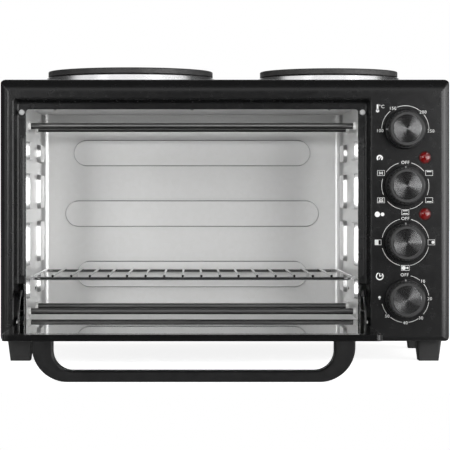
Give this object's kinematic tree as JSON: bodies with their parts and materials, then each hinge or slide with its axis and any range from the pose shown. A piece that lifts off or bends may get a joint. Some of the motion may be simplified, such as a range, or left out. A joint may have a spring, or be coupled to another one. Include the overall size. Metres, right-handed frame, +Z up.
{
  "type": "toaster oven",
  "caption": "Table-top mini oven with a drop-down glass door on a bow handle, wire rack, heater rods, turning control knobs, indicator lamps and cast-iron hot plates on top.",
  "frame": {"origin": "centre of the bottom of the box round the oven with its door open, on the table under the feet", "axes": "+X to the right as seen from the front, +Y from the front to the back, +Z up"},
  "size_m": [0.482, 0.537, 0.321],
  "materials": {
    "black_panel": "semi-gloss",
    "cavity_steel": "satin",
    "heater_steel": "dark satin",
    "ceramic": "matte",
    "chrome_wire": "polished",
    "door_glass": "polished",
    "black_plastic": "matte",
    "knob_aluminium": "spun",
    "red_lens": "gloss",
    "grey_silicone": "matte",
    "cast_iron": "matte",
    "zinc_steel": "satin",
    "switch_plastic": "matte",
    "brass_shaft": "satin"
  },
  "bodies": {
    "oven": {"front_panel": "black_panel", "outer_cover": "black_panel", "cavity_left_wall": "cavity_steel", "cavity_right_wall": "cavity_steel", "cavity_back_wall": "cavity_steel", "cavity_ceiling": "cavity_steel", "cavity_floor": "cavity_steel", "upper_front_heater": "heater_steel", "upper_rear_heater": "heater_steel", "lower_front_heater": "heater_steel", "lower_rear_heater": "heater_steel", "heater_insulators": "ceramic", "large_trim_ring": "chrome_wire", "small_trim_ring": "chrome_wire", "feet": "black_plastic", "cord_gland": "black_plastic", "lamp_lenses": "red_lens", "door_bumpers": "grey_silicone", "large_hotplate": "cast_iron", "small_hotplate": "cast_iron", "rear_panel": "zinc_steel", "base_plate": "zinc_steel", "rear_screws": "zinc_steel", "left_hinge_bracket": "zinc_steel", "right_hinge_bracket": "zinc_steel", "hinge_pins": "zinc_steel", "large_hotplate_clamp": "zinc_steel", "small_hotplate_clamp": "zinc_steel", "hotplate_nuts": "zinc_steel", "control_bay_shield": "zinc_steel", "thermostat": "switch_plastic", "mode_switch": "switch_plastic", "hotplate_switch": "switch_plastic", "timer": "switch_plastic", "lamp_holders": "switch_plastic", "terminal_block": "switch_plastic"},
    "door": {"door_glass": "door_glass", "door_left_stile": "black_panel", "door_right_stile": "black_panel", "door_top_rail": "black_panel", "door_bottom_rail": "black_panel", "door_handle": "black_plastic", "handle_screws": "zinc_steel", "left_door_arm": "zinc_steel", "right_door_arm": "zinc_steel"},
    "rack": {"wire_rack": "chrome_wire"},
    "thermostat_dial": {"thermostat_knob": "black_plastic", "thermostat_knob_cap": "knob_aluminium", "thermostat_shaft": "brass_shaft"},
    "mode_dial": {"mode_knob": "black_plastic", "mode_knob_cap": "knob_aluminium", "mode_shaft": "brass_shaft"},
    "hotplate_dial": {"hotplate_knob": "black_plastic", "hotplate_knob_cap": "knob_aluminium", "hotplate_shaft": "brass_shaft"},
    "timer_dial": {"timer_knob": "black_plastic", "timer_knob_cap": "knob_aluminium", "timer_shaft": "brass_shaft"}
  },
  "joints": [
    {"name": "door_hinge", "type": "hinge", "parent": "oven", "child": "door", "pos_m": [-0.03525, -0.0345, 0.04275], "axis": [-1, 0, 0], "range_deg": [0, 90]},
    {"name": "rack_slide", "type": "slide", "parent": "oven", "child": "rack", "axis": [0, 1, 0], "range_m": [-0.2, 0]},
    {"name": "thermostat_turn", "type": "hinge", "parent": "oven", "child": "thermostat_dial", "pos_m": [0.193, -0.0515, 0.25], "axis": [0, 1, 0], "range_deg": [0, 190]},
    {"name": "mode_turn", "type": "hinge", "parent": "oven", "child": "mode_dial", "pos_m": [0.193, -0.0515, 0.1895], "axis": [0, 1, 0], "range_deg": [0, 300]},
    {"name": "hotplate_turn", "type": "hinge", "parent": "oven", "child": "hotplate_dial", "pos_m": [0.193, -0.0515, 0.129], "axis": [0, 1, 0], "range_deg": [0, 270]},
    {"name": "timer_turn", "type": "hinge", "parent": "oven", "child": "timer_dial", "pos_m": [0.193, -0.0515, 0.0685], "axis": [0, 1, 0], "range_deg": [0, 270]}
  ]
}
